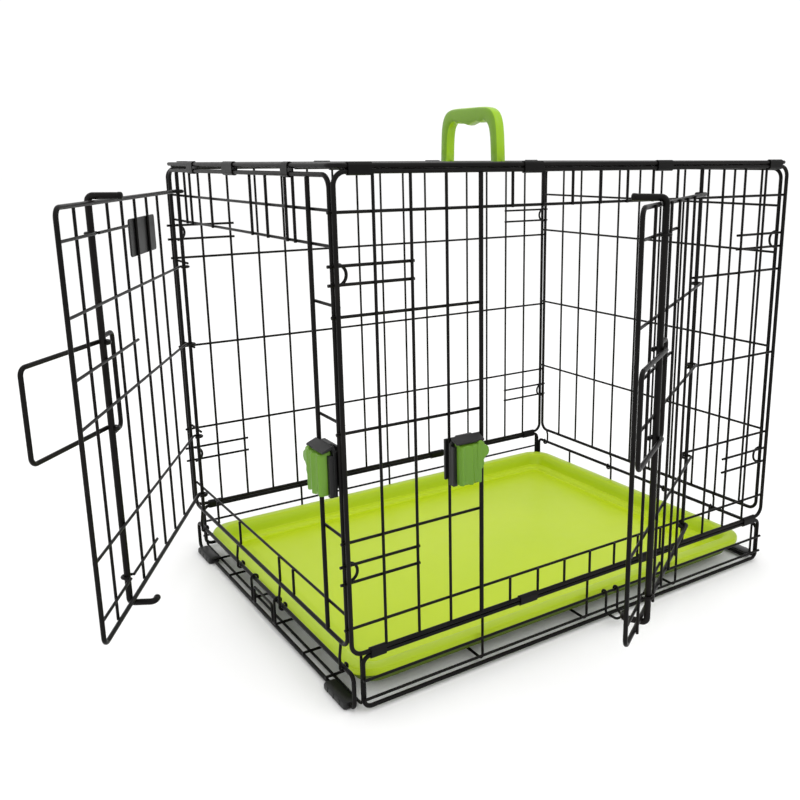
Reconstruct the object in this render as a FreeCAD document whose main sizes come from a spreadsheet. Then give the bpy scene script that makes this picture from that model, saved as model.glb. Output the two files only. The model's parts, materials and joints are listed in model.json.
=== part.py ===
"""Folding wire dog crate with two doors, a slide-out tray and a carry handle.

Units are millimetres, Z is up. Inside this file the crate is drawn about the centre of its
footprint: X along the long side, the side door at -Y, the end door at -X, the floor at z = 0.
Every sub-part's Placement then moves it by (origin_x, origin_y), so that the origin of the
finished part is the bottom centre of the box around the crate with both doors open.
"""
import math
import os
import FreeCAD, Part
import Sketcher
from FreeCAD import Vector, Placement, Rotation, Matrix

doc = FreeCAD.newDocument("wire_crate")

# ---------------------------------------------------------------- driving dimensions
D = {
    "half_length": 305.4, "half_width": 236.2, "end_frame_y": 228.0,
    "grid_radius": 1.5, "frame_radius": 2.25, "rod_radius": 3.25, "bail_radius": 2.25,
    "bend_radius": 12.0, "grid_pitch": 38.175,
    "side_bottom_z": 64.8, "side_top_z": 520.2, "roof_z": 525.0,
    "end_bottom_z": 70.0, "end_top_z": 517.4,
    "base_x": 303.2, "base_top_z": 60.0, "base_bottom_z": 4.75,
    "end_sill_z": 41.0, "rear_sill_z": 50.0,
    "foot_length": 48.0, "foot_width": 15.0, "foot_height": 8.5,
    "tray_length": 590.0, "tray_width": 452.0, "tray_rim_z": 34.5, "tray_floor_z": 10.3,
    "tray_wall": 2.4, "tray_rim_width": 15.0, "tray_corner": 32.0,
    "end_door_width": 384.0, "end_door_open": 30.6,
    "side_door_width": 309.0, "side_door_open": 31.8,
    "end_bail_reach": 113.0, "side_bail_reach": 97.0, "lug_height": 97.0,
    "sleeve_length": 23.0, "sleeve_wall": 1.0,
    "clip_width": 36.0, "clip_height": 50.0, "clip_plate": 3.4,
    "handle_span": 124.0, "handle_depth": 15.0, "handle_leg": 14.0, "handle_rise": 63.5,
    "origin_x": 117.52, "origin_y": 95.26,
}
sheet = doc.addObject("Spreadsheet::Sheet", "Dims")
for row, (alias, value) in enumerate(D.items(), start=1):
    sheet.set("A%d" % row, alias)
    sheet.set("B%d" % row, repr(value))
    sheet.setAlias("B%d" % row, alias)
doc.recompute()

HL, HW, EY = D["half_length"], D["half_width"], D["end_frame_y"]
RG, RF, RR, RB = D["grid_radius"], D["frame_radius"], D["rod_radius"], D["bail_radius"]
SHIFT = Vector(D["origin_x"], D["origin_y"], 0)


# ---------------------------------------------------------------- small builders
class Piece:
    """One sub-part: a list of solids that becomes a compound or a single body with its own Placement."""

    def __init__(self, label):
        self.label = label
        self.items = []

    def add(self, kind, **props):
        feature = doc.addObject("Part::" + kind, "%s_%s_%d" % (self.label, kind, len(self.items)))
        for key, value in props.items():
            setattr(feature, key, value)
        self.items.append(feature)
        return feature

    def rod(self, a, b, radius):
        """A straight round bar from a to b; radius is the alias of a driving dimension."""
        a, b = Vector(*a), Vector(*b)
        bar = self.add("Cylinder", Height=(b - a).Length)
        bar.setExpression("Radius", "Dims." + radius)
        bar.Placement = Placement(a, Rotation(Vector(0, 0, 1), b - a))
        return bar

    def arc(self, centre, start, along, bend, degrees, radius):
        """Part of a ring: from centre + bend * start, setting off in the direction along."""
        start, along = Vector(*start).normalize(), Vector(*along).normalize()
        up = start.cross(along)
        ring = self.add("Torus", Radius1=bend, Angle1=-180, Angle2=180, Angle3=degrees)
        ring.setExpression("Radius2", "Dims." + radius)
        turn = Matrix(start.x, along.x, up.x, 0, start.y, along.y, up.y, 0, start.z, along.z, up.z, 0, 0, 0, 0, 1)
        ring.Placement = Placement(Vector(*centre), Rotation(turn))
        return ring

    def wire(self, points, radius, bend=None, closed=False):
        """Round wire through the points, rounded at each inner corner."""
        bend = D["bend_radius"] if bend is None else bend
        pts = [Vector(*p) for p in points]
        count = len(pts)
        trimmed_start, trimmed_end = {}, {}
        for i in range(count):
            if not closed and i in (0, count - 1):
                continue
            before, here, after = pts[i - 1], pts[i], pts[(i + 1) % count]
            d1, d2 = (here - before).normalize(), (after - here).normalize()
            angle = d1.getAngle(d2)
            if angle < 0.01:
                continue
            side = (d2 - d1 * d1.dot(d2)).normalize()
            back = bend * math.tan(angle / 2)
            centre = here - d1 * back + side * bend
            self.arc(centre, side * -1, d1, bend, math.degrees(angle), radius)
            trimmed_end[i], trimmed_start[i] = here - d1 * back, here + d2 * back
        for i in range(count if closed else count - 1):
            j = (i + 1) % count
            a, b = trimmed_start.get(i, pts[i]), trimmed_end.get(j, pts[j])
            if (b - a).Length > 0.2:
                self.rod(a, b, radius)

    def box(self, low, high):
        block = self.add("Box", Length=high[0] - low[0], Width=high[1] - low[1], Height=high[2] - low[2])
        block.Placement.Base = Vector(*low)
        return block

    def finish(self, at=(0, 0, 0), axis=(0, 0, 1), degrees=0.0):
        """Gather the solids in one compound, placed at its own point with its own turn."""
        whole = doc.addObject("Part::Compound", self.label)
        whole.Links = self.items
        whole.Placement = Placement(Vector(*at) + SHIFT, Rotation(Vector(*axis), degrees))
        return node(whole, self.label)


NODES = []


def node(feature, label):
    feature.Label = label
    NODES.append(feature)
    return feature


def face_map(which):
    """(u, z, outward) on one wall to crate coordinates; u runs along +X or +Y."""
    return {
        "front": lambda u, z, o=0.0: (u, -HW - o, z),
        "back": lambda u, z, o=0.0: (u, HW + o, z),
        "left": lambda u, z, o=0.0: (-HL - o, u, z),
        "right": lambda u, z, o=0.0: (HL + o, u, z),
    }[which]


def loop(piece, at, low_u, high_u, low_z, high_z, radius, bend=None):
    corners = [(low_u, low_z), (high_u, low_z), (high_u, high_z), (low_u, high_z)]
    piece.wire([at(u, z) for u, z in corners], radius, bend, closed=True)


# ---------------------------------------------------------------- base and feet
BX, BZ = D["base_x"], D["base_bottom_z"]
base = Piece("base_grid")
for which in ("front", "back"):
    at = face_map(which)
    loop(base, at, -294.0, 301.0, BZ, D["base_top_z"], "frame_radius", 8.0)
    for z in (36.5, 15.5):
        base.rod(at(-296, z, RF + RG), at(303, z, RF + RG), "grid_radius")
FLOOR_X = (-294.0, -149.0, 0.0, 149.0, 294.0)
CROSS_Z, LONG_Z = BZ + RF - RG, BZ + RF + RG
for x in FLOOR_X:
    top, side = D["base_top_z"] + RF, HW - RF - RG
    base.wire([(x, -side, top), (x, -side, CROSS_Z), (x, side, CROSS_Z), (x, side, top)], "grid_radius", 7.0)
for y in (-171.0, -114.0, -38.0, 38.0, 114.0, 171.0):
    base.rod((-BX - RF, y, LONG_Z), (BX + RF, y, LONG_Z), "grid_radius")
for x, sill in ((-BX, D["end_sill_z"]), (BX, D["rear_sill_z"])):
    ends = [(x, y, z) for y, z in ((-233.0, BZ), (233.0, BZ), (233.0, sill), (-233.0, sill))]
    base.wire(ends, "frame_radius", 7.0, closed=True)
for y in (-152.0, -52.0, 50.0, 151.0):
    base.rod((BX, y, BZ + RF), (BX, y, D["rear_sill_z"] - RF), "grid_radius")
base.finish()

for label, sx, sy in (("foot_front_left", -1, -1), ("foot_back_left", -1, 1),
                      ("foot_front_right", 1, -1), ("foot_back_right", 1, 1)):
    block = doc.addObject("Part::Box", label + "_block")
    block.setExpression("Length", "Dims.foot_width")
    block.setExpression("Width", "Dims.foot_length")
    block.setExpression("Height", "Dims.foot_height")
    block.Placement.Base = Vector(-D["foot_width"] / 2, -D["foot_length"] / 2, 0)
    slot = doc.addObject("Part::Cylinder", label + "_slot")
    slot.Radius, slot.Height = RF + 0.15, 80
    slot.Placement = Placement(Vector(0, -40, BZ), Rotation(Vector(0, 0, 1), Vector(0, 1, 0)))
    grooved = doc.addObject("Part::Cut", label)
    grooved.Base, grooved.Tool = block, slot
    grooved.Placement.Base = Vector(sx * BX, sy * 200.0, 0) + SHIFT
    node(grooved, label)

# ---------------------------------------------------------------- long side panels
P = D["grid_pitch"]
ZLOW, ZTOP = D["side_bottom_z"], D["side_top_z"]
SIDE_Z = {"front": (92.0, 181.0, 288.0, 395.0, 486.0), "back": (176.5, 290.5, 407.0)}
PAIR_Z = {"front": (140.0, 158.0, 423.5, 440.0), "back": (132.0, 149.5, 431.0, 448.5)}


def side_panel(label, which, door):
    panel, at, rows = Piece(label), face_map(which), SIDE_Z[which]
    loop(panel, at, -HL, HL, ZLOW, ZTOP, "frame_radius")
    inner = -(RF + RG)
    for k in range(1, 16):
        u = -HL + k * P
        spans = [(ZLOW + RF, ZTOP - RF)]
        if door and 4 < k < 12:
            spans = [(ZLOW + RF, rows[0] + RG), (rows[4] - RG, ZTOP - RF)]
        if door and k in (4, 12):
            panel.rod(at(u, ZLOW + RF), at(u, ZTOP - RF), "frame_radius")
            continue
        for low, high in spans:
            panel.rod(at(u, low, -RF + RG), at(u, high, -RF + RG), "grid_radius")
    for z in rows:
        ends = [(-HL - 5, HL + 5)]
        if door and z in rows[1:4]:
            ends = [(-HL - 5, -HL + 4 * P + 4), (-HL + 12 * P - 4, HL + 5)]
        for low, high in ends:
            panel.rod(at(low, z, inner), at(high, z, inner), "grid_radius")
    for z in PAIR_Z[which]:
        for side in (-1, 1):
            panel.rod(at(side * (HL + 7), z, inner), at(side * (HL - 2 * P - 4), z, inner), "grid_radius")
    return panel.finish()


side_panel("front_panel", "front", True)
side_panel("back_panel", "back", False)

# ---------------------------------------------------------------- end panels
EB, ET = D["end_bottom_z"], D["end_top_z"]
HINGE_Y, OPEN_Y = 198.0, -184.0
LINK_Z = (181.5, 295.4, 403.5)
SILL_HOOK = 3.95


def sill_hooks(panel, at, sill_x, sill_z, places):
    """Wires that run on below an end panel and curl under the base's sill wire."""
    wall_x = at(0, 0)[0]
    out = 1 if wall_x > 0 else -1
    for u in places:
        foot = (sill_x + out * SILL_HOOK, u, sill_z)
        panel.rod((wall_x, u, EB - RF), (foot[0], u, sill_z + 12), "grid_radius")
        panel.rod((foot[0], u, sill_z + 12), foot, "grid_radius")
        panel.arc((sill_x, u, sill_z), (out, 0, 0), (0, 0, -1), SILL_HOOK, 250, "grid_radius")


end = Piece("left_end_panel")
at = face_map("left")
loop(end, at, -EY, EY, EB, ET, "frame_radius")
inner = -(RF + RG)
for z in (487.0, 456.0, 100.0):
    end.rod(at(-EY - 3, z, inner), at(EY + 3, z, inner), "grid_radius")
for u in (HINGE_Y, OPEN_Y):
    end.rod(at(u, EB + RF), at(u, ET - RF), "frame_radius")
for z in LINK_Z:
    end.rod(at(HINGE_Y - 4, z, inner), at(EY + 3, z, inner), "grid_radius")
    end.rod(at(-EY - 3, z, inner), at(OPEN_Y + 4, z, inner), "grid_radius")
for u in (171.0, 151.0, 79.0, -43.0, -84.5, -132.5, -150.5):
    end.rod(at(u, 456.0 - RG, -RF + RG), at(u, ET - RF, -RF + RG), "grid_radius")
for u in (139.0, 60.0, -61.0, -99.0):
    end.rod(at(u, EB + RF, -RF + RG), at(u, 100.0 + RG, -RF + RG), "grid_radius")
sill_hooks(end, at, -BX, D["end_sill_z"], (205.0, 70.0, -61.0, -212.0))
end.finish()

far = Piece("right_end_panel")
at = face_map("right")
loop(far, at, -EY, EY, EB, ET, "frame_radius")
for z in (185.0, 296.0, 415.5, 473.0):
    far.rod(at(-EY - 2.4, z, inner), at(EY + 2.4, z, inner), "grid_radius")
for k in range(10):
    u = 182.0 - 42.5 * k
    far.rod(at(u, EB + RF, -RF + RG), at(u, ET - RF, -RF + RG), "grid_radius")
sill_hooks(far, at, BX, D["rear_sill_z"], (215.0, 55.0, -65.0, -155.5))
far.finish()

# half-ring loops on the end panels that spring between the side panels' pairs of short wires
for label, which in (("left_locking_loops", "left"), ("right_locking_loops", "right")):
    loops, at = Piece(label), face_map(which)
    into = 1 if which == "left" else -1
    for u in (-EY, EY):
        for z in ((149.0, 431.7) if u < 0 else (140.7, 439.7)):
            start = at(u, z + 11.0, 0)
            loops.arc((start[0] + into * (RF + RG), u, z), (0, 0, 1), (into, 0, 0), 9.5, 180, "grid_radius")
    loops.finish()

# ---------------------------------------------------------------- roof panel
roof = Piece("top_panel")
RZ = D["roof_z"]
roof.wire([(-HL, -HW, RZ), (HL, -HW, RZ), (HL, HW, RZ), (-HL, HW, RZ)], "frame_radius", closed=True)
for k in range(1, 16):
    x = -HL + k * P
    roof.rod((x, -HW + RF, RZ + RF - RG), (x, HW - RF, RZ + RF - RG), "grid_radius")
for y in (-226.0, -154.0, -55.0, 55.0, 154.0, 226.0):
    roof.rod((-HL + RF, y, RZ + RF - 3 * RG), (HL - RF, y, RZ + RF - 3 * RG), "grid_radius")
roof.finish()


# ---------------------------------------------------------------- sheet-metal sleeves and clips
def sleeve(piece, centre, axis, half_gap, length):
    """A flattened sheet sleeve round two wires lying one above the other."""
    wall, clear = D["sleeve_wall"], 0.2
    shapes = []
    for radius, tail in ((RF + clear + wall, 0.0), (RF + clear, 1.0)):
        tag = "%s_sleeve_%d" % (piece.label, len(piece.items) * 10 + len(shapes))
        parts = []
        for dz in (-half_gap, half_gap):
            end_round = doc.addObject("Part::Cylinder", tag + "_round")
            end_round.Radius, end_round.Height = radius, length + 2 * tail
            end_round.Placement = Placement(Vector(dz, 0, -tail), Rotation())
            parts.append(end_round)
        flat = doc.addObject("Part::Box", tag + "_flat")
        flat.Length, flat.Width, flat.Height = 2 * half_gap, 2 * radius, length + 2 * tail
        flat.Placement.Base = Vector(-half_gap, -radius, -tail)
        joined = doc.addObject("Part::MultiFuse", tag)
        joined.Shapes = parts + [flat]
        shapes.append(joined)
    hollow = doc.addObject("Part::Cut", shapes[0].Name + "_cut")
    hollow.Base, hollow.Tool = shapes
    along = Vector(*axis)
    up = Vector(0, 0, 1)
    across = along.cross(up)
    turn = Matrix(up.x, across.x, along.x, 0, up.y, across.y, along.y, 0, up.z, across.z, along.z, 0, 0, 0, 0, 1)
    hollow.Placement = Placement(Vector(*centre) - along * (length / 2), Rotation(turn))
    piece.items.append(hollow)


SLEEVE_X = (-280.5, -91.0, 91.0, 280.5)
for which, sy in (("front", -1), ("back", 1)):
    low = Piece(which + "_base_sleeves")
    high = Piece(which + "_top_sleeves")
    for x in SLEEVE_X:
        short = x == SLEEVE_X[0]
        sleeve(low, (x + 3.0 * short, sy * HW, (ZLOW + D["base_top_z"]) / 2), (1, 0, 0),
               (ZLOW - D["base_top_z"]) / 2, D["sleeve_length"] - 6.0 * short)
        sleeve(high, (x, sy * HW, (ZTOP + RZ) / 2), (1, 0, 0), (RZ - ZTOP) / 2,
               D["sleeve_length"])
    low.finish()
    high.finish()
clips = Piece("end_top_clips")
for y, length in ((137.0, 20.0), (11.0, 30.0), (-141.5, 13.4)):
    sleeve(clips, (-HL, y, (ET + RZ) / 2), (0, 1, 0), (RZ - ET) / 2, length)
clips.finish()


# ---------------------------------------------------------------- doors, latch rods and bails
# Each door is drawn in its own frame: the hinge wire is the Z axis, the door runs along +X and its
# outer side is out * Y. Placement then stands it on the panel's hinge wire and opens it.
EYE = RF + 0.35 + RF
MID = EYE + 0.75
UPRIGHT = EYE + RF + RG
ROD_OFF = MID + RG + 0.3 + RR


def door(label, out, width, uprights, rod_at, z_top, z_mid, z_low, z_short, at, degrees):
    """One wire door; out is the local Y sign of its outer side."""
    leaf = Piece(label)
    frame = [(0, z_top), (width, z_top), (width, z_low), (0, z_low)]
    leaf.wire([(x, out * EYE, z) for x, z in frame], "frame_radius", 9.0)
    for z in (z_top, z_low):
        leaf.arc((0, 0, z), (0, out, 0), (-1, 0, 0), EYE, 285, "frame_radius")
    for z in z_mid:
        leaf.rod((0, out * MID, z), (width - RF, out * MID, z), "grid_radius")
        leaf.arc((0, 0, z), (0, out, 0), (-1, 0, 0), MID, 285, "grid_radius")
    for x in uprights:
        leaf.rod((x, out * UPRIGHT, z_low - RG), (x, out * UPRIGHT, z_top + RG), "grid_radius")
    stop = uprights[-3] - 4
    bow = RR + 0.35 + RG
    for n, z in enumerate(z_short):
        if n == 1:
            leaf.rod((stop, out * MID, z), (width - RF, out * MID, z), "grid_radius")
            continue
        for x0, x1 in ((stop, rod_at - bow), (rod_at + bow, width - RF)):
            leaf.rod((x0, out * MID, z), (x1, out * MID, z), "grid_radius")
        for side in (-1, 1):
            x = rod_at + side * bow
            leaf.rod((x, out * (MID + RG), z), (x, out * ROD_OFF, z), "grid_radius")
        leaf.arc((rod_at, out * ROD_OFF, z), (-1, 0, 0), (0, out, 0), bow, 180, "grid_radius")
    return leaf.finish(at, (0, 0, 1), degrees)


def latch_rod(label, out, z_top, z_low, lug_low, lug_side, at, degrees):
    """Rod with an L hook on top, a curled hook below and a lug; drawn about its own axis.

    The lug is a flat wire loop towards the free edge (lug_side 1) or the hinge (-1)."""
    rod = Piece(label)
    top, low = z_top + RF + 0.5 + RR, z_low - RF - 0.5 - RR
    hooks = [(0, -out * 30, top), (0, 0, top), (0, 0, low), (0, -out * 25, low), (-9, -out * 25, low)]
    rod.wire(hooks, "rod_radius", 5.0)
    lug_high, near, far_x = lug_low + D["lug_height"], lug_side * RR, lug_side * 28
    lug = [(near, 0, lug_high), (far_x, 0, lug_high), (far_x, 0, lug_low), (near, 0, lug_low)]
    rod.wire(lug, "bail_radius", 6.0)
    return rod.finish(at, (0, 0, 1), degrees)


def bail(label, out, low, span, at, degrees):
    """Pull handle: a wire loop whose two arms end in eyes that turn on the latch rod."""
    loop_wire = Piece(label)
    eye = RR + 0.35 + RB
    high, low = low + D["lug_height"] - 5.5, low + 5.5
    for z in (low, high):
        loop_wire.arc((0, 0, z), (0, out, 0), (-1, 0, 0), eye, 200, "bail_radius")
    loop_wire.wire([(x, out * eye, z) for x, z in ((0, high), (span, high), (span, low), (0, low))], "bail_radius", 7.0)
    return loop_wire.finish(at, (0, 0, 1), degrees)


def on_door(hinge, degrees, x, y):
    turned = Rotation(Vector(0, 0, 1), degrees).multVec(Vector(x, y, 0))
    return (hinge[0] + turned.x, hinge[1] + turned.y, 0)


END_HINGE, SIDE_HINGE = (-HL, HINGE_Y, 0), (-HL + 12 * P, -HW, 0)
END_TURN = -90.0 - D["end_door_open"]
SIDE_TURN = 180.0 + D["side_door_open"]
END_ROD, SIDE_ROD = 288.0, 243.0
END_UPRIGHTS = (65.0, 109.5, 154.0, 198.5, 243.0, 332.0)
SIDE_UPRIGHTS = (88.0, 127.5, 168.0, 207.0, 276.0)
END_TOP, END_LOW, SIDE_TOP, SIDE_LOW = 492.2, 93.0, 490.5, 87.5
END_BAIL, SIDE_BAIL, END_BAIL_TURN = 269.0, 267.5, 14.0

end_door = door("end_door", -1, D["end_door_width"], END_UPRIGHTS, END_ROD, END_TOP, (399.0, 299.5, 175.0),
                END_LOW, (464.0, 344.5, 116.0), END_HINGE, END_TURN)
side_door = door("front_door", 1, D["side_door_width"], SIDE_UPRIGHTS, SIDE_ROD, SIDE_TOP, (389.0, 292.2, 177.0),
                 SIDE_LOW, (464.0, 340.0, 110.0), SIDE_HINGE, SIDE_TURN)
END_PIN = on_door(END_HINGE, END_TURN, END_ROD, -ROD_OFF)
SIDE_PIN = on_door(SIDE_HINGE, SIDE_TURN, SIDE_ROD, ROD_OFF)
latch_rod("end_door_latch_rod", -1, END_TOP, END_LOW, END_BAIL, -1, END_PIN, END_TURN)
latch_rod("front_door_latch_rod", 1, SIDE_TOP, SIDE_LOW, SIDE_BAIL, -1, SIDE_PIN, SIDE_TURN)
bail("end_door_bail", -1, END_BAIL, D["end_bail_reach"], END_PIN, END_TURN - END_BAIL_TURN)
bail("front_door_bail", 1, SIDE_BAIL, D["side_bail_reach"], SIDE_PIN, SIDE_TURN)
plate = doc.addObject("Part::Box", "end_door_plate")
plate.Length, plate.Width, plate.Height = 95.0, 2.0, 40.5
corner = on_door(END_HINGE, END_TURN, 77.5, -UPRIGHT - RG - 2.0)
plate.Placement = Placement(Vector(corner[0], corner[1], 429.0) + SHIFT, Rotation(Vector(0, 0, 1), END_TURN))
node(plate, "end_door_plate")


# ---------------------------------------------------------------- sliding latch catches beside each door
def catch(prefix, width, width_behind, behind_at, tab, at, degrees):
    """Black guide block clamped on two uprights, and the green catch that slides up on it.

    Drawn with the outer side at -Y and z = 0 at the block's lower edge; tab is the doorway's side."""
    half, tall, thick = width / 2, D["clip_height"], D["clip_plate"]
    face = -RF - 0.15
    guide = Piece(prefix + "_latch_plate")
    front_y = face - thick
    guide.box((-half, front_y, 0), (half, face, tall))
    guide.box((-half + 6, face, 8), (half - 6, RF + 0.15, tall - 8))
    guide.box((behind_at - width_behind / 2, RF + 0.15, 4), (behind_at + width_behind / 2, RF + 3.0, tall - 4))
    for side in (-1, 1):
        inner_x, outer_x = sorted((side * (half - 3.5), side * half))
        guide.box((inner_x, front_y - 7.6, 0), (outer_x, front_y, tall))
        lip = sorted((side * (half - 6), side * (half - 3.5)))
        guide.box((lip[0], front_y - 7.6, 2), (lip[1], front_y - 5.6, tall))
    joined = doc.addObject("Part::MultiFuse", prefix + "_latch_plate")
    joined.Shapes = guide.items
    joined.Placement = Placement(Vector(*at) + SHIFT, Rotation(Vector(0, 0, 1), degrees))
    node(joined, prefix + "_latch_plate")
    slide = Piece(prefix + "_latch_catch")
    low, top, back = 3.0, 45.5, front_y - 0.3
    slide.box((-half + 3.8, back - 5.0, low), (half - 3.8, back, top))
    slide.box((-half + 6.4, back - 8.0, low), (half - 6.4, back - 5.0, top))
    slide.box((-half + 6.4, back - 16.6, low), (half - 6.4, back - 8.0, top - 14))
    slide.box((-half + 6.4, back - 16.6, top - 14), (half - 6.4, back - 13.6, top))
    ear = sorted((tab * (half - 6.4), tab * (half + 2)))
    slide.box((ear[0], back - 16.6, top - 26), (ear[1], back - 12.6, top - 6))
    joined = doc.addObject("Part::MultiFuse", prefix + "_latch_catch")
    joined.Shapes = slide.items
    joined.Placement = Placement(Vector(*at) + SHIFT, Rotation(Vector(0, 0, 1), degrees))
    node(joined, prefix + "_latch_catch")


catch("end", 36.0, 47.0, 0.0, -1, (-HL, -208.0, 226.0), -90.0)
catch("front", 33.5, 44.0, 4.0, 1, (-176.75, -HW, 217.0), 0.0)


# ---------------------------------------------------------------- bodies made from sketches
def sketch_on(body, name, height, outlines):
    """A sketch at a height whose closed outlines are lists of points joined by straight lines."""
    sketch = body.newObject("Sketcher::SketchObject", name)
    sketch.Placement = Placement(Vector(0, 0, height), Rotation())
    for outline in outlines:
        first = sketch.GeometryCount
        for a, b in zip(outline, outline[1:] + outline[:1]):
            sketch.addGeometry(Part.LineSegment(Vector(a[0], a[1], 0), Vector(b[0], b[1], 0)), False)
        for i in range(len(outline)):
            j = (i + 1) % len(outline)
            sketch.addConstraint(Sketcher.Constraint("Coincident", first + i, 2, first + j, 1))
    return sketch


def rounded(length, width, radius, steps=8):
    points = []
    for n, (sx, sy) in enumerate(((1, 1), (-1, 1), (-1, -1), (1, -1))):
        cx, cy = sx * (length / 2 - radius), sy * (width / 2 - radius)
        for i in range(steps + 1):
            angle = math.radians(90 * n + 90 * i / steps)
            points.append((cx + radius * math.cos(angle), cy + radius * math.sin(angle)))
    return points


TL, TW, TR = D["tray_length"], D["tray_width"], D["tray_corner"]
FZ, TZ, RIM, WALL = D["tray_floor_z"], D["tray_rim_z"], D["tray_rim_width"], D["tray_wall"]
body = doc.addObject("PartDesign::Body", "tray")
solid = sketch_on(body, "tray_outline", FZ, [rounded(TL - 2 * RIM, TW - 2 * RIM, TR - 10)])
pad = body.newObject("PartDesign::Pad", "tray_block")
pad.Profile = solid
pad.setExpression("Length", "Dims.tray_rim_z - Dims.tray_floor_z")
rim = sketch_on(body, "rim_outline", TZ - WALL, [rounded(TL, TW, TR)])
rim_pad = body.newObject("PartDesign::Pad", "tray_rim")
rim_pad.Profile = rim
rim_pad.setExpression("Length", "Dims.tray_wall")
inside = sketch_on(body, "hollow_outline", TZ, [rounded(TL - 2 * RIM - 2 * WALL, TW - 2 * RIM - 2 * WALL, TR - 12)])
hollow = body.newObject("PartDesign::Pocket", "tray_hollow")
hollow.Profile = inside
hollow.setExpression("Length", "Dims.tray_rim_z - Dims.tray_floor_z - Dims.tray_wall")
skirt = sketch_on(body, "skirt_outline", TZ - 8.0, [rounded(TL, TW, TR), rounded(TL - 4, TW - 4, TR - 2)])
skirt_pad = body.newObject("PartDesign::Pad", "tray_skirt")
skirt_pad.Profile = skirt
skirt_pad.Length = 8.0 - WALL / 2
body.Tip = skirt_pad
body.Placement = Placement(SHIFT, Rotation())
node(body, "tray")

# carry handle: an arch along Y, drawn in its own XY plane and then stood up
SPAN, RISE, LEG = D["handle_span"], D["handle_rise"], D["handle_leg"]
outer = [(-SPAN / 2, -8.5)]
outer += [(-SPAN / 2 + 5 + 20 * (1 - math.cos(math.radians(a))), RISE - 24 + 24 * math.sin(math.radians(a)))
          for a in range(0, 91, 10)]
outer += [(-x, z) for x, z in reversed(outer)]
inner_top = RISE - 16
under = []
for i in range(25):
    s = -1 + i / 12.0
    bump = 4.5 * max(0.0, math.cos(math.pi * (s + 0.05) / 0.52)) if abs(s + 0.05) < 0.26 else 0.0
    bump += 2.2 * max(0.0, math.cos(math.pi * (s - 0.5) / 0.4)) if abs(s - 0.5) < 0.2 else 0.0
    bump += 2.2 * max(0.0, math.cos(math.pi * (s + 0.6) / 0.4)) if abs(s + 0.6) < 0.2 else 0.0
    drop = 12 * max(0.0, abs(s) - 0.8) / 0.2 * (max(0.0, abs(s) - 0.8) / 0.2)
    under.append((-s * (SPAN / 2 - LEG - 4), inner_top - bump - drop))
outline = outer + [(SPAN / 2 - LEG, -8.5)] + under + [(-SPAN / 2 + LEG, -8.5)]
body = doc.addObject("PartDesign::Body", "handle_body")
profile = sketch_on(body, "handle_outline", -D["handle_depth"] / 2, [outline])
pad = body.newObject("PartDesign::Pad", "handle_pad")
pad.Profile = profile
pad.setExpression("Length", "Dims.handle_depth")
stand = Matrix(0, 0, 1, 0, 1, 0, 0, 0, 0, 1, 0, 0, 0, 0, 0, 1)
WIRE_TOP = RZ + RF
body.Placement = Placement(Vector(0, 0, WIRE_TOP + 0.2), Rotation(stand))
slots = []
for y in (-55.0, 55.0):
    slots.append(Piece("handle_slot").rod((-20, y, RZ + RF - 3 * RG), (20, y, RZ + RF - 3 * RG), "grid_radius"))
slots.append(Piece("handle_rail").rod((0, -90, RZ + RF - RG), (0, 90, RZ + RF - RG), "grid_radius"))
for slot in slots:
    slot.setExpression("Radius", "Dims.grid_radius + 0.2")
cutter = doc.addObject("Part::MultiFuse", "handle_slots")
cutter.Shapes = slots
handle = doc.addObject("Part::Cut", "carry_handle")
handle.Base, handle.Tool = body, cutter
handle.Placement.Base = SHIFT
node(handle, "carry_handle")

# ---------------------------------------------------------------- tray stops
stop = Piece("front_tray_stop")
EYE_S = 2 * RG + 0.3
for x in (-9.0, 9.0):
    stop.arc((x, 0, 0), (0, -1, 0), (0, 0, 1), EYE_S, 250, "grid_radius")
path = [(-9, -EYE_S, 0), (-9, -EYE_S, -24), (-5, -EYE_S - 14, -27), (5, -EYE_S - 14, -27), (9, -EYE_S, -24),
        (9, -EYE_S, 0)]
stop.wire(path, "grid_radius", 4.0)
stop.finish((29.5, -HW - RF - RG, 36.5))
stop = Piece("end_tray_stop")
EYE_E = RF + 0.3 + RG
ends = (-35.0, 35.0)
for y in ends:
    stop.arc((0, y, 0), (-1, 0, 0), (0, 0, 1), EYE_E, 250, "grid_radius")
path = [(-35, 0), (-35, -28), (-27, -28), (-27, -7), (27, -7), (27, -28), (35, -28), (35, 0)]
path = [(-EYE_E, y, z) for y, z in path]
stop.wire(path, "grid_radius", 2.6)
stop.finish((-BX, -10.0, D["end_sill_z"]))

# ---------------------------------------------------------------- checks and export
doc.recompute()
problems = []
for feature in doc.Objects:
    if set(feature.State) & {"Invalid", "Error"}:
        problems.append("%s: %s" % (feature.Label, feature.State))
for feature in NODES:
    shape = feature.Shape
    if shape.isNull() or not shape.isValid() or not shape.Solids:
        problems.append("%s has no valid solid" % feature.Label)
if problems:
    raise RuntimeError("; ".join(problems))
whole = NODES[0].Shape.BoundBox
for feature in NODES[1:]:
    whole.add(feature.Shape.BoundBox)
print("nodes", len(NODES), "box", whole)
print("origin should move by", -whole.Center.x, -whole.Center.y)
os.makedirs("parts", exist_ok=True)
for feature in NODES:
    feature.Shape.exportStep("parts/%s.step" % feature.Label)
    print(feature.Label, len(feature.Shape.Solids), round(feature.Shape.Volume / 1000, 1))
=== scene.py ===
"""Looks for the folding wire dog crate: studio, camera, coatings, moulded parts and small metal details."""
import json
import math

import bmesh
import bpy
from mathutils import Matrix, Vector


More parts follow.
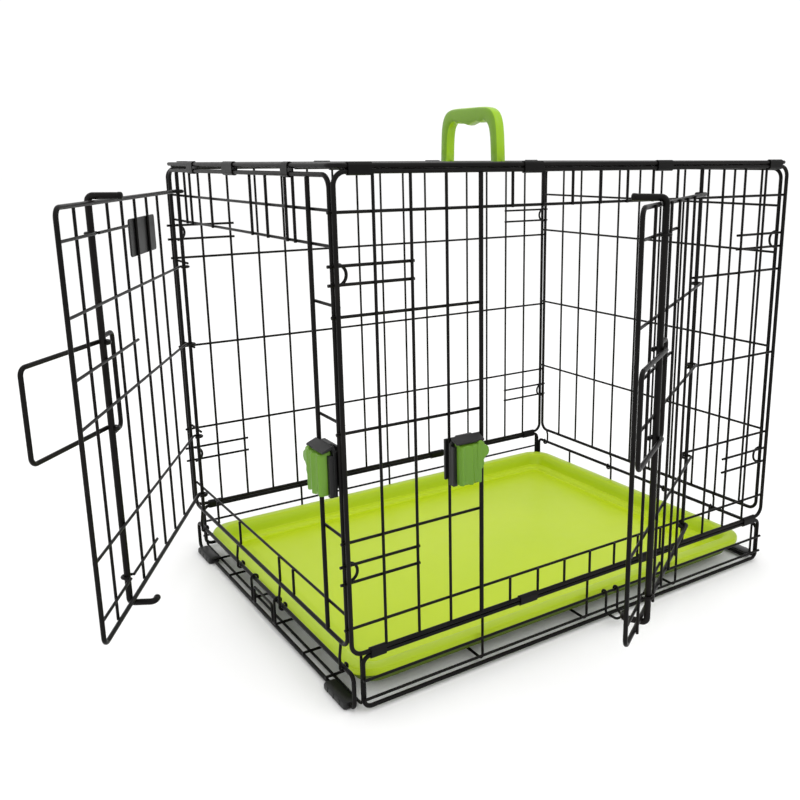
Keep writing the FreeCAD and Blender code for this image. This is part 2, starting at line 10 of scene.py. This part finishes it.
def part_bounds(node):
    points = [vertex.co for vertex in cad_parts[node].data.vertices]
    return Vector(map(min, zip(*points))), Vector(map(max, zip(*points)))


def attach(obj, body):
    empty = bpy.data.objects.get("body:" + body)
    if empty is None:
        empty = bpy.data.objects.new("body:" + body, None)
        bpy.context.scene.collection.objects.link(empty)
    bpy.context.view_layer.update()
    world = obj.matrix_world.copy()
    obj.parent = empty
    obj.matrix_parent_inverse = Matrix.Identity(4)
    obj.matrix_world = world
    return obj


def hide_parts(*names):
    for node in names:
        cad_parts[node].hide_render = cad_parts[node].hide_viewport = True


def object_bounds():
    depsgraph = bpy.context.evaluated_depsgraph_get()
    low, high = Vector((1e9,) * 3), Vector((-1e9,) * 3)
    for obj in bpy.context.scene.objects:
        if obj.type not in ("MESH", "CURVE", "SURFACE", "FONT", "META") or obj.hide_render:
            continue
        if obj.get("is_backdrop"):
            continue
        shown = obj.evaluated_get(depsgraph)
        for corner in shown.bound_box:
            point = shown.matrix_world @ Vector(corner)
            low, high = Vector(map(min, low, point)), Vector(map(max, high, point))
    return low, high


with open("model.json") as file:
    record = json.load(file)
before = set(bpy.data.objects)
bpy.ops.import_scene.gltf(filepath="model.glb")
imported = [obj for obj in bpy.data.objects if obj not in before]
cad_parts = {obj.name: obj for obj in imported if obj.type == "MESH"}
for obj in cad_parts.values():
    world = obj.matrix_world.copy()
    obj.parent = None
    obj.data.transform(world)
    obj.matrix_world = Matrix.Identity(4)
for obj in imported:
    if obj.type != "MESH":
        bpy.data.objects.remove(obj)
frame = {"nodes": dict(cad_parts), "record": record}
NODES = frame["nodes"]
CAD_BOX = [list(corner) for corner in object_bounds()]


def part_box(name):
    low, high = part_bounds(name)
    return Vector(low), Vector(high)


# ------------------------------------------------------------------ node materials
class Shader:
    """Small helper that writes a node tree line by line."""

    def __init__(self, name):
        self.material = bpy.data.materials.new(name)
        self.material.use_nodes = True
        self.tree = self.material.node_tree
        self.surface = next(n for n in self.tree.nodes if n.type == "BSDF_PRINCIPLED")
        self.place = self.new("ShaderNodeTexCoord").outputs["Object"]

    def new(self, kind, **settings):
        made = self.tree.nodes.new(kind)
        for key, value in settings.items():
            setattr(made, key, value)
        return made

    def link(self, source, target):
        self.tree.links.new(source, target)

    def set(self, **values):
        for key, value in values.items():
            self.surface.inputs[key.replace("_", " ")].default_value = value

    def noise(self, scale, detail=3.0, roughness=0.5, stretch=(1, 1, 1)):
        mapping = self.new("ShaderNodeMapping")
        mapping.inputs["Scale"].default_value = stretch
        self.link(self.place, mapping.inputs["Vector"])
        noise = self.new("ShaderNodeTexNoise")
        noise.inputs["Scale"].default_value = scale
        noise.inputs["Detail"].default_value = detail
        noise.inputs["Roughness"].default_value = roughness
        self.link(mapping.outputs["Vector"], noise.inputs["Vector"])
        return noise.outputs["Fac"]

    def ramp(self, source, stops):
        ramp = self.new("ShaderNodeValToRGB")
        elements = ramp.color_ramp.elements
        while len(elements) < len(stops):
            elements.new(0.5)
        for element, (where, colour) in zip(elements, stops):
            element.position = where
            element.color = (*colour, 1.0)
        self.link(source, ramp.inputs["Fac"])
        return ramp.outputs["Color"]

    def spread(self, source, low, high):
        span = self.new("ShaderNodeMapRange")
        span.inputs["To Min"].default_value = low
        span.inputs["To Max"].default_value = high
        self.link(source, span.inputs["Value"])
        return span.outputs["Result"]

    def mix(self, factor, a, b):
        mix = self.new("ShaderNodeMix", data_type="RGBA")
        self.link(factor, mix.inputs["Factor"])
        for socket, value in ((mix.inputs[6], a), (mix.inputs[7], b)):
            if isinstance(value, tuple):
                socket.default_value = (*value, 1.0)
            else:
                self.link(value, socket)
        return mix.outputs[2]

    def bump(self, source, strength, distance):
        bump = self.new("ShaderNodeBump")
        bump.inputs["Strength"].default_value = strength
        bump.inputs["Distance"].default_value = distance
        self.link(source, bump.inputs["Height"])
        previous = self.surface.inputs["Normal"]
        if previous.is_linked:
            self.link(previous.links[0].from_socket, bump.inputs["Normal"])
        self.link(bump.outputs["Normal"], previous)


def coated_wire(name, dark, light, rub):
    """Black coated wire: satin, faintly mottled, with a slightly brown worn sheen in places."""
    s = Shader(name)
    mottle = s.ramp(s.noise(45, 4), [(0.30, dark), (0.72, light)])
    rubbed = s.spread(s.noise(9, 2), -1.4, 1.1)
    s.link(s.mix(rubbed, mottle, rub), s.surface.inputs["Base Color"])
    s.link(s.spread(s.noise(160, 3), 0.27, 0.43), s.surface.inputs["Roughness"])
    s.bump(s.noise(900, 2), 0.18, 0.0002)
    s.set(Specular_IOR_Level=0.10, Coat_Weight=0.0)
    return s.material


PLASTIC_GLOW = (0.006, 0.008, 0.002)  # how far light travels in the green plastics, by channel


def moulded_plastic(name, base, deep, roughness=(0.24, 0.36), grain=1400, glow=0.06):
    """Injection-moulded plastic with soft colour drift, fine grain and a touch of translucency."""
    s = Shader(name)
    s.link(s.ramp(s.noise(7, 2), [(0.25, deep), (0.75, base)]), s.surface.inputs["Base Color"])
    s.link(s.spread(s.noise(60, 3), *roughness), s.surface.inputs["Roughness"])
    s.bump(s.noise(grain, 2), 0.12, 0.00012)
    s.bump(s.noise(14, 1), 0.05, 0.0006)
    s.set(Specular_IOR_Level=0.35, Subsurface_Weight=glow, Subsurface_Radius=PLASTIC_GLOW,
          Subsurface_Scale=0.6)
    return s.material


def tray_plastic(name):
    """Lime tray: painted shade mixes the walls and rim towards a darker green, grading in over the band
    where the wall meets the floor so the floor stays lighter, and fine moulding grain.
    """
    s = Shader(name)
    drift = s.ramp(s.noise(5, 2), [(0.25, (0.450, 0.600, 0.004)), (0.75, (0.500, 0.640, 0.006))])
    split = s.new("ShaderNodeSeparateXYZ")
    s.link(s.place, split.inputs["Vector"])
    # painted shade: a height mask, zero at the floor and 0.35 from 16 mm above it, that darkens the walls
    # and rim
    wall_shade = s.new("ShaderNodeMapRange")
    wall_shade.inputs["From Min"].default_value = TRAY_FLOOR + 0.001
    wall_shade.inputs["From Max"].default_value = TRAY_FLOOR + 0.016
    wall_shade.inputs["To Min"].default_value = 0.0
    wall_shade.inputs["To Max"].default_value = 0.35
    s.link(split.outputs["Z"], wall_shade.inputs["Value"])
    # the deeper green here is painted shade, mixed over the walls and rim
    s.link(s.mix(wall_shade.outputs["Result"], drift, (0.28, 0.44, 0.004)), s.surface.inputs["Base Color"])
    s.link(s.spread(s.noise(50, 3), 0.28, 0.40), s.surface.inputs["Roughness"])
    s.bump(s.noise(1300, 2), 0.10, 0.00012)
    s.set(Specular_IOR_Level=0.30, Subsurface_Weight=0.05, Subsurface_Radius=PLASTIC_GLOW,
          Subsurface_Scale=0.6)
    return s.material


TRAY_LOW, TRAY_HIGH = part_box("tray")
TRAY_FLOOR = TRAY_LOW.z + 0.0024

WIRE = coated_wire("coated_wire", (0.0022, 0.0019, 0.0018), (0.0055, 0.0047, 0.0043),
                   (0.012, 0.0095, 0.0085))
ROD = coated_wire("coated_rod", (0.0025, 0.0021, 0.0020), (0.0065, 0.0054, 0.0050), (0.014, 0.0110, 0.0098))
SHEET = coated_wire("coated_sheet", (0.0022, 0.0021, 0.0021), (0.0055, 0.0050, 0.0048),
                    (0.013, 0.0115, 0.0105))
BLACK = moulded_plastic("black_plastic", (0.0080, 0.0078, 0.0080), (0.0045, 0.0045, 0.0046),
                        (0.36, 0.50), glow=0.0)
LIME = tray_plastic("lime_plastic")
GREEN = moulded_plastic("green_plastic", (0.125, 0.275, 0.018), (0.100, 0.235, 0.014))
GRIP = moulded_plastic("grip_plastic", (0.165, 0.325, 0.012), (0.140, 0.280, 0.010))
# painted highlight: a lighter copy of the grip green for the handle's narrow faces and its clips
GRIP_HIGHLIGHT = moulded_plastic("grip_painted_highlight", (0.315, 0.540, 0.010), (0.270, 0.480, 0.009))
# painted shade: a darker copy of the tray green for its outer wall, rim underside and downward faces
TRAY_PAINTED_SHADE = moulded_plastic("tray_painted_shade", (0.120, 0.190, 0.010), (0.095, 0.150, 0.008),
                        (0.45, 0.60), glow=0.0)

LOOK = {
    "wire": WIRE, "sheet_steel": SHEET, "black_plastic": BLACK,
    "green_plastic": GREEN, "handle_plastic": GRIP, "lime_plastic": LIME,
}


def paint(obj, material):
    obj.data.materials.clear()
    obj.data.materials.append(material)


SLOT_OF = {piece["node"]: piece["material_slot"] for piece in frame["record"]["subparts"]}
for name, obj in NODES.items():
    material = LOOK[SLOT_OF[name]]
    if name.endswith("_latch_rod"):
        material = ROD
    paint(obj, material)


# ------------------------------------------------------------------ finer pieces
def piece(name, mesh, body, slot, materials, nodes=(), bevel=0.0):
    """Turns a bmesh into a shown piece that rides on a body and stands for the CAD nodes given."""
    bmesh.ops.recalc_face_normals(mesh, faces=mesh.faces)
    data = bpy.data.meshes.new(name)
    mesh.to_mesh(data)
    mesh.free()
    obj = bpy.data.objects.new(name, data)
    bpy.context.scene.collection.objects.link(obj)
    for material in materials:
        data.materials.append(material)
    for face in data.polygons:
        face.use_smooth = True
    if bevel:
        edge = obj.modifiers.new("soft_edges", "BEVEL")
        edge.width, edge.segments, edge.limit_method = bevel, 3, "ANGLE"
        edge.angle_limit, edge.harden_normals = math.radians(35), True
    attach(obj, body)
    if nodes:
        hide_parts(*nodes)
    return obj


def loft(mesh, rings, close_first=True, close_last=True, looped=True):
    """Joins rings of points, each with the same count, into a skin."""
    rows = [[mesh.verts.new(point) for point in ring] for ring in rings]
    count = len(rows[0])
    for first, second in zip(rows, rows[1:]):
        for i in range(count if looped else count - 1):
            j = (i + 1) % count
            mesh.faces.new((first[i], first[j], second[j], second[i]))
    if close_first:
        mesh.faces.new(rows[0][::-1])
    if close_last:
        mesh.faces.new(rows[-1])
    return rows


def corner_ring(centre, half_x, half_y, radius, z, steps=10):
    """Points round a rectangle with rounded corners, at height z."""
    points = []
    for n, (sx, sy) in enumerate(((1, 1), (-1, 1), (-1, -1), (1, -1))):
        for i in range(steps + 1):
            angle = math.radians(90 * n + 90 * i / steps)
            points.append((centre.x + sx * (half_x - radius) + radius * math.cos(angle),
                           centre.y + sy * (half_y - radius) + radius * math.sin(angle), z))
    return points


def tray():
    """Moulded tray: rolled rim with a small skirt, stepped groove inside the wall, raised floor panel."""
    centre = (TRAY_LOW + TRAY_HIGH) / 2
    half_x, half_y = (TRAY_HIGH.x - TRAY_LOW.x) / 2, (TRAY_HIGH.y - TRAY_LOW.y) / 2
    top, floor = TRAY_HIGH.z, TRAY_FLOOR
    profile = [  # inset from the outer edge, height, corner radius
        (0.0150, TRAY_LOW.z, 0.022), (0.0142, TRAY_LOW.z + 0.0012, 0.023), (0.0130, top - 0.0052, 0.024),
        (0.0118, top - 0.0030, 0.025), (0.0030, top - 0.0030, 0.030), (0.0020, top - 0.0078, 0.031),
        (0.0004, top - 0.0080, 0.032), (0.0000, top - 0.0060, 0.032), (0.0000, top - 0.0022, 0.032),
        (0.0010, top - 0.0006, 0.031), (0.0028, top, 0.030), (0.0118, top, 0.024),
        (0.0140, top - 0.0006, 0.022), (0.0158, top - 0.0024, 0.021), (0.0178, top - 0.0100, 0.020),
        (0.0192, floor + 0.0055, 0.019), (0.0212, floor + 0.0044, 0.018), (0.0262, floor + 0.0042, 0.016),
        (0.0280, floor + 0.0030, 0.015), (0.0292, floor + 0.0006, 0.015), (0.0312, floor, 0.014),
        (0.0380, floor, 0.013), (0.0400, floor + 0.0008, 0.013), (0.0425, floor + 0.0012, 0.013),
    ]
    mesh = bmesh.new()
    shade_bands, ring_points = 6, 4 * 11  # outer wall, rim underside and inner skirt, which take the darker painted shade
    loft(mesh, [corner_ring(centre, half_x - inset, half_y - inset, radius, z)
                for inset, z, radius in profile])
    shell = piece("tray_moulding", mesh, "tray", "lime_plastic", [LIME, TRAY_PAINTED_SHADE], ["tray"], bevel=0.0005)
    shaded = shade_bands * ring_points
    # the outer bands and the downward faces get the second material, a painted shade
    for face in shell.data.polygons:
        face.material_index = int(face.index < shaded or face.normal.z < -0.9)


FINGER_BUMPS = ((0.0062, -0.02, 0.5), (0.0034, 0.46, 0.4), (0.0034, -0.50, 0.4))  # size, place, width


def carry_handle():
    """Arched grip across the roof, with finger bumps underneath and two clipped feet."""
    low, high = part_box("carry_handle")
    centre, half_span = (low + high) / 2, (high.y - low.y) / 2
    rise, depth, leg, crown = high.z - low.z, (high.x - low.x) / 2, 0.0135, 0.0150
    sharp = lambda value, power: math.copysign(abs(value) ** power, value)
    rings = []
    steps = 56
    for i in range(steps + 1):
        t = math.radians(-90 + 180 * i / steps)
        across, lift = sharp(math.sin(t), 0.34), sharp(math.cos(t), 0.34)
        bumps = 0.0
        for size, where, width in FINGER_BUMPS:
            beside = across - where
            bumps += size * max(0.0, math.cos(math.pi * beside / width)) * (abs(beside) < width / 2)
        lean = 0.0030 * lift
        outer = Vector((0, (half_span - lean) * across, low.z + rise * lift))
        inner = Vector((0, (half_span - leg - lean) * across, low.z + (rise - crown - bumps) * lift))
        middle, reach = (outer + inner) / 2, (outer - inner) / 2
        ring = []
        for k in range(20):
            angle = 2 * math.pi * k / 20
            spot = middle + reach * sharp(math.sin(angle), 0.62)
            ring.append((centre.x + depth * sharp(math.cos(angle), 0.5), centre.y + spot.y, spot.z))
        rings.append(ring)
    mesh = bmesh.new()
    loft(mesh, rings)
    mesh.normal_update()
    grip = piece("carry_handle_grip", mesh, "crate", "handle_plastic", [GRIP, GRIP_HIGHLIGHT], ["carry_handle"])
    # faces not turned along x (top, underside, leg edges) take the lighter painted highlight
    for face in grip.data.polygons:
        if abs(face.normal.x) < 0.62:
            face.material_index = 1
    for side in (-1, 1):  # clips that close under the roof wires
        mesh = bmesh.new()
        y = centre.y + side * (half_span - leg / 2)
        shape = ((0.0070, 0.0066, -0.0012), (0.0086, 0.0082, 0.0000), (0.0088, 0.0084, 0.0020),
                 (0.0076, 0.0072, 0.0032))
        loft(mesh, [corner_ring(Vector((centre.x, y, 0)), a, b, 0.0025, low.z + z, 4) for a, b, z in shape])
        name = "handle_clip_" + ("front" if side < 0 else "back")
        piece(name, mesh, "crate", "handle_plastic", [GRIP_HIGHLIGHT], bevel=0.0004)


GUIDE_INNER = 0.00525  # from the frame wires' middle to a latch guide's inner face


def wall_frame(name, behind):
    """Local axes of a latch: u along the wall as seen from outside, o outward, z up from its lower edge."""
    low, high = part_box(name)
    middle = (low + high) / 2
    if name.startswith("end"):
        return lambda u, o, z: (high.x - GUIDE_INNER - o, middle.y + behind - u, low.z + z)
    return lambda u, o, z: (middle.x - behind + u, high.y - GUIDE_INNER - o, low.z + z)


def slab(mesh, place, outline, near, far):
    """A flat shape given in u and z, thick from near to far in the outward direction."""
    loft(mesh, [[place(u, o, z) for u, z in outline] for o in (near, far)])


def slice_up(mesh, place, outline, low, high):
    """A flat shape given in u and o, drawn straight up from low to high."""
    loft(mesh, [[place(u, o, z) for u, o in outline] for z in (low, high)])


def latch(prefix, half, behind, tab, body):
    """Black guide, the fluted green catch with its wavy thumb tab, and the hood above it."""
    place = wall_frame(prefix + "_latch_plate", behind)
    face, tall = 0.0024, 0.050
    front = face + 0.0034
    mesh = bmesh.new()
    back = [(-half, 0.0), (half, 0.0), (half, tall - 0.007), (half - 0.008, tall), (-half + 0.008, tall),
            (-half, tall - 0.007)]
    slab(mesh, place, back, face, front)
    inside = [(behind + x, z) for x, z in ((-0.022, 0.004), (0.022, 0.004), (0.022, tall - 0.004),
                                           (-0.022, tall - 0.004))]
    slab(mesh, place, inside, -0.0024, -0.00515)
    slab(mesh, place, [(-half + 0.006, 0.008), (half - 0.006, 0.008), (half - 0.006, tall - 0.008),
                       (-half + 0.006, tall - 0.008)], -0.0024, face)
    for side in (-1, 1):
        lip, web = side * (half - 0.0052), side * (half - 0.0034)
        rail = [(side * half, front), (side * half, front + 0.0046), (lip, front + 0.0046),
                (lip, front + 0.0034), (web, front + 0.0032), (web, front)]
        slice_up(mesh, place, rail, 0.0, tall - 0.009)
    piece(prefix + "_latch_guide", mesh, "crate", "black_plastic", [BLACK], [prefix + "_latch_plate"],
          bevel=0.0007)

    # hood over the catch; it travels with the catch, so nothing blocks the upward slide
    mesh = bmesh.new()
    hood = []
    for o, z in ((front + 0.0003, 0.0), (front + 0.0105, -0.0042), (front + 0.0105, -0.0062),
                 (front + 0.0003, -0.0030)):
        hood.append([place(u * half, o, tall + z) for u in (-0.98, -0.6, -0.2, 0.2, 0.6, 0.98)])
    rows = loft(mesh, hood, False, False, looped=False)
    for i in range(5):
        mesh.faces.new((rows[3][i], rows[3][i + 1], rows[0][i + 1], rows[0][i]))
    for i in (0, 5):
        mesh.faces.new([row[i] for row in rows])
    piece(prefix + "_latch_hood", mesh, body, "black_plastic", [BLACK], bevel=0.0005)

    wide, bottom, top = half - 0.0042, 0.003, 0.0445
    back_at, out_at = front + 0.0006, front + 0.0166
    mesh = bmesh.new()
    section = [(-wide, back_at), (-wide, out_at - 0.0060)]
    steps = 12
    for i in range(steps + 1):
        s = -1 + 2 * i / steps
        flute = -0.0030 * (1 - (2 * abs(s) - 1) ** 2)
        edge = -0.0012 * abs(s) ** 8
        section.append((s * (wide - 0.0016), out_at - 0.0018 + flute + edge))
    section += [(wide, out_at - 0.0060), (wide, back_at)]
    rings = []
    for step, (shrink, z) in enumerate(((0.94, bottom), (1.0, bottom + 0.0012), (1.0, 0.018), (1.0, 0.036),
                                         (1.0, top - 0.0016), (0.95, top - 0.0002))):
        ring = []
        for u, o in section:
            slope = 0.0035 * max(0.0, (o - back_at) / 0.016) * (step > 3)
            wave = 0.0016 * abs(math.cos(math.pi * u / wide)) * (step < 2)
            ring.append(place(u * shrink, back_at + (o - back_at) * shrink, z - slope - wave))
        rings.append(ring)
    loft(mesh, rings)
    ear = [(0.0, 0.014), (0.0030, 0.0165), (0.0048, 0.0200), (0.0040, 0.0245), (0.0062, 0.0275),
           (0.0092, 0.0290), (0.0106, 0.0325), (0.0098, 0.0368), (0.0072, 0.0392), (0.0052, 0.0400),
           (0.0040, 0.0430), (0.0010, 0.0450), (-0.0020, 0.0440), (-0.0040, 0.0400), (-0.0040, 0.0160)]
    slab(mesh, place, [(tab * (wide + u - 0.002), z) for u, z in ear], out_at - 0.0078, out_at - 0.0042)
    piece(prefix + "_latch_slider", mesh, body, "green_plastic", [GREEN], [prefix + "_latch_catch"],
          bevel=0.0007)


END_DOOR_TURN, SIDE_DOOR_TURN = -120.6, 211.8  # degrees from +X to each open door
ROD_OFFSET = 0.01065  # from the hinge wire's middle to a latch rod's, at right angles to the door


def door_plate():
    """Plain moulded plate on the end door, with a framed field; it carries no mark."""
    low, high = part_box("end_door_plate")
    middle = (low + high) / 2
    turn = math.radians(END_DOOR_TURN)
    along = Vector((math.cos(turn), math.sin(turn), 0))
    out = Vector((math.sin(turn), -math.cos(turn), 0))
    rings = []
    for a, b, o in ((0.0472, 0.0200, -0.0010), (0.0474, 0.0202, 0.0004), (0.0466, 0.0194, 0.0012),
                    (0.0440, 0.0168, 0.0012), (0.0432, 0.0160, 0.0006), (0.0428, 0.0156, 0.0005)):
        flat = corner_ring(Vector((0, 0, 0)), a, b, 0.0030, 0, 5)
        rings.append([middle + along * u + Vector((0, 0, v)) + out * o for u, v, _ in flat])
    mesh = bmesh.new()
    loft(mesh, rings)
    piece("end_door_name_plate", mesh, "end_door", "black_plastic", [BLACK], ["end_door_plate"],
          bevel=0.0003)


def foot(name):
    """Moulded foot clipped round the bottom wire, with a rounded tread."""
    low, high = part_box(name)
    centre = (low + high) / 2
    half_x, half_y, height = (high.x - low.x) / 2, (high.y - low.y) / 2, high.z - low.z
    rings = []
    for inset, share in ((0.0018, 0.0), (0.0006, 0.10), (0.0, 0.25), (0.0, 0.72),
                         (0.0008, 0.90), (0.0026, 1.0)):
        rings.append(corner_ring(centre, half_x - inset, half_y - inset, 0.0032, low.z + height * share, 5))
    mesh = bmesh.new()
    loft(mesh, rings)
    for k in (-0.55, 0.0, 0.55):
        ridge = corner_ring(centre + Vector((0, k * half_y, 0)), half_x + 0.0006, 0.0016, 0.0010, 0, 2)
        loft(mesh, [[(x, y, low.z + z) for x, y, _ in ridge] for z in (0.0022, height - 0.0012)])
    piece(name + "_shoe", mesh, "crate", "black_plastic", [BLACK], [name], bevel=0.0004)


def rod_tips(prefix, hinge, turn, along, out, top, low):
    """Pressed, slightly swollen ends on a latch rod's upper hook and lower curl."""
    angle = math.radians(turn)
    door_x = Vector((math.cos(angle), math.sin(angle), 0))
    door_y = Vector((-math.sin(angle), math.cos(angle), 0))
    pin = Vector((*hinge, 0)) + door_x * along + door_y * out * ROD_OFFSET
    ends = (("hook", door_y * -out * 0.030 + Vector((0, 0, top)), door_y * -out),
            ("curl", door_y * -out * 0.025 - door_x * 0.009 + Vector((0, 0, low)), -door_x))
    for label, offset, axis in ends:
        side = axis.cross(Vector((0, 0, 1)))
        rings = []
        for step, radius in ((-0.0030, 0.00330), (-0.0018, 0.00352), (0.0002, 0.00352), (0.0012, 0.00300),
                             (0.0017, 0.00180)):
            rings.append([pin + offset + axis * step + side * (radius * math.cos(math.tau * k / 20))
                          + Vector((0, 0, radius * math.sin(math.tau * k / 20))) for k in range(20)])
        mesh = bmesh.new()
        loft(mesh, rings)
        piece("%s_rod_%s_end" % (prefix, label), mesh, prefix + "_rod", "wire", [ROD])


# the crate's middle, and the door hinges from it
base_low, base_high = part_box("base_grid")
MIDDLE = (base_low + base_high) / 2
END_HINGE = (MIDDLE.x - 0.3054, MIDDLE.y + 0.198)
SIDE_HINGE = (MIDDLE.x + 0.1527, MIDDLE.y - 0.2362)

tray()
carry_handle()
rod_tips("end", END_HINGE, END_DOOR_TURN, 0.288, -1, 0.4982, 0.0870)
rod_tips("front", SIDE_HINGE, SIDE_DOOR_TURN, 0.243, 1, 0.4965, 0.0815)
latch("end", 0.0180, 0.0, -1, "end_catch")
latch("front", 0.01675, 0.004, 1, "front_catch")
door_plate()
for name in sorted(NODES):
    if name.startswith("foot_"):
        foot(name)


# ------------------------------------------------------------------ studio
low, high = (Vector(corner) for corner in CAD_BOX)
CENTRE = (low + high) / 2
floor_mesh = bpy.data.meshes.new("studio_floor")
REACH = 30.0  # half the floor's width, so that its edge isn't seen
build = bmesh.new()
for x, y in ((-REACH, -REACH), (REACH, -REACH), (REACH, REACH), (-REACH, REACH)):
    build.verts.new((x, y, 0))
build.faces.new(build.verts)
build.to_mesh(floor_mesh)
build.free()
floor = bpy.data.objects.new("studio_floor", floor_mesh)
bpy.context.scene.collection.objects.link(floor)
paper = Shader("studio_paper")
paper.link(paper.ramp(paper.noise(2.0, 2), [(0.3, (0.955, 0.953, 0.95)), (0.7, (0.97, 0.968, 0.965))]),
           paper.surface.inputs["Base Color"])
paper.set(Roughness=0.9)
paint(floor, paper.material)
floor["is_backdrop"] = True

world = bpy.data.worlds.new("studio_air")
world.use_nodes = True
world.node_tree.nodes["Background"].inputs["Color"].default_value = (1.0, 1.0, 1.0, 1.0)
world.node_tree.nodes["Background"].inputs["Strength"].default_value = 1.06
bpy.context.scene.world = world
bpy.context.scene.view_settings.view_transform = "Standard"


def softbox(name, where, size, power, aim=CENTRE):
    data = bpy.data.lights.new(name, "AREA")
    data.shape, data.size, data.size_y, data.energy = "RECTANGLE", *size, power
    lamp = bpy.data.objects.new(name, data)
    lamp.location = where
    lamp.rotation_euler = (aim - Vector(where)).to_track_quat("-Z", "Y").to_euler()
    bpy.context.scene.collection.objects.link(lamp)


softbox("key_light", (0.9, -2.2, 2.6), (1.8, 1.8), 16)
softbox("top_light", (0.1, 0.3, 3.0), (2.6, 2.6), 14)
softbox("side_light", (-2.6, -0.6, 1.2), (1.2, 1.6), 5)

# camera: same stand point, lens and framing as the reference view
CAMERA_PLACE = Vector((MIDDLE.x - 0.6453, MIDDLE.y - 0.9349, 0.5303))
YAW, PITCH, ROLL = math.radians(34.836), math.radians(13.872), math.radians(-0.176)
forward = Vector((math.sin(YAW) * math.cos(PITCH), math.cos(YAW) * math.cos(PITCH), -math.sin(PITCH)))
right = Vector((math.cos(YAW), -math.sin(YAW), 0))
up = right.cross(forward)
right, up = (right * math.cos(ROLL) + up * math.sin(ROLL), up * math.cos(ROLL) - right * math.sin(ROLL))
camera_data = bpy.data.cameras.new("view")
camera_data.sensor_width = 36.0
camera_data.lens = 40.035
camera_data.shift_x, camera_data.shift_y = -0.0950, -0.0270
camera_data.clip_start, camera_data.clip_end = 0.02, 60
camera = bpy.data.objects.new("view", camera_data)
turn = Matrix((right, up, -forward)).transposed().to_4x4()
camera.matrix_world = Matrix.Translation(CAMERA_PLACE) @ turn
bpy.context.scene.collection.objects.link(camera)
bpy.context.scene.camera = camera

low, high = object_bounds()
